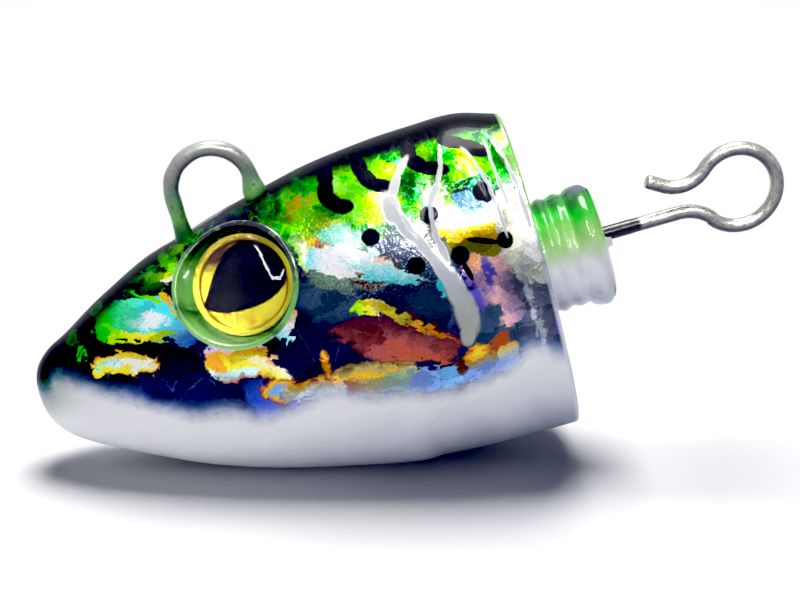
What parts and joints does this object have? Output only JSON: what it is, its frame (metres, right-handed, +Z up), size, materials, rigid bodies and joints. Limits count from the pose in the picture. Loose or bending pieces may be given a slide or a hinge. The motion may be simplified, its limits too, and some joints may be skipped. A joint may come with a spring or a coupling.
{
  "type": "jig head",
  "caption": "Fish-shaped lead jig head on a bent wire, with line eye, keeper neck, open hook loop, foil flanks and domed eyes.",
  "frame": {"origin": "middle of the flat belly land, on the surface that the head stands on", "axes": "+X towards the tail and the hook loop, -X towards the nose, -Y towards the head's left flank, +Z up; the casting's own axis is pitched 15 degrees, tail up"},
  "size_m": [0.0718, 0.0218, 0.034],
  "materials": {
    "painted_lead": "green back fading to white, glossy",
    "stainless_wire": "drawn stainless wire",
    "holographic_foil": "metallised holographic film",
    "clear_lacquer": "thick clear lacquer",
    "foam_pad": "adhesive foam",
    "gold_foil": "gold metallised film",
    "black_ink": "printed black",
    "clear_resin": "clear domed resin"
  },
  "bodies": {
    "root": {"head_casting": "painted_lead", "through_wire": "stainless_wire", "foil_left": "holographic_foil", "foil_right": "holographic_foil", "clear_coat": "clear_lacquer", "eye_pad_left": "foam_pad", "eye_pad_right": "foam_pad", "iris_foil_left": "gold_foil", "iris_foil_right": "gold_foil", "pupil_left": "black_ink", "pupil_right": "black_ink", "eye_dome_left": "clear_resin", "eye_dome_right": "clear_resin"}
  },
  "joints": []
}
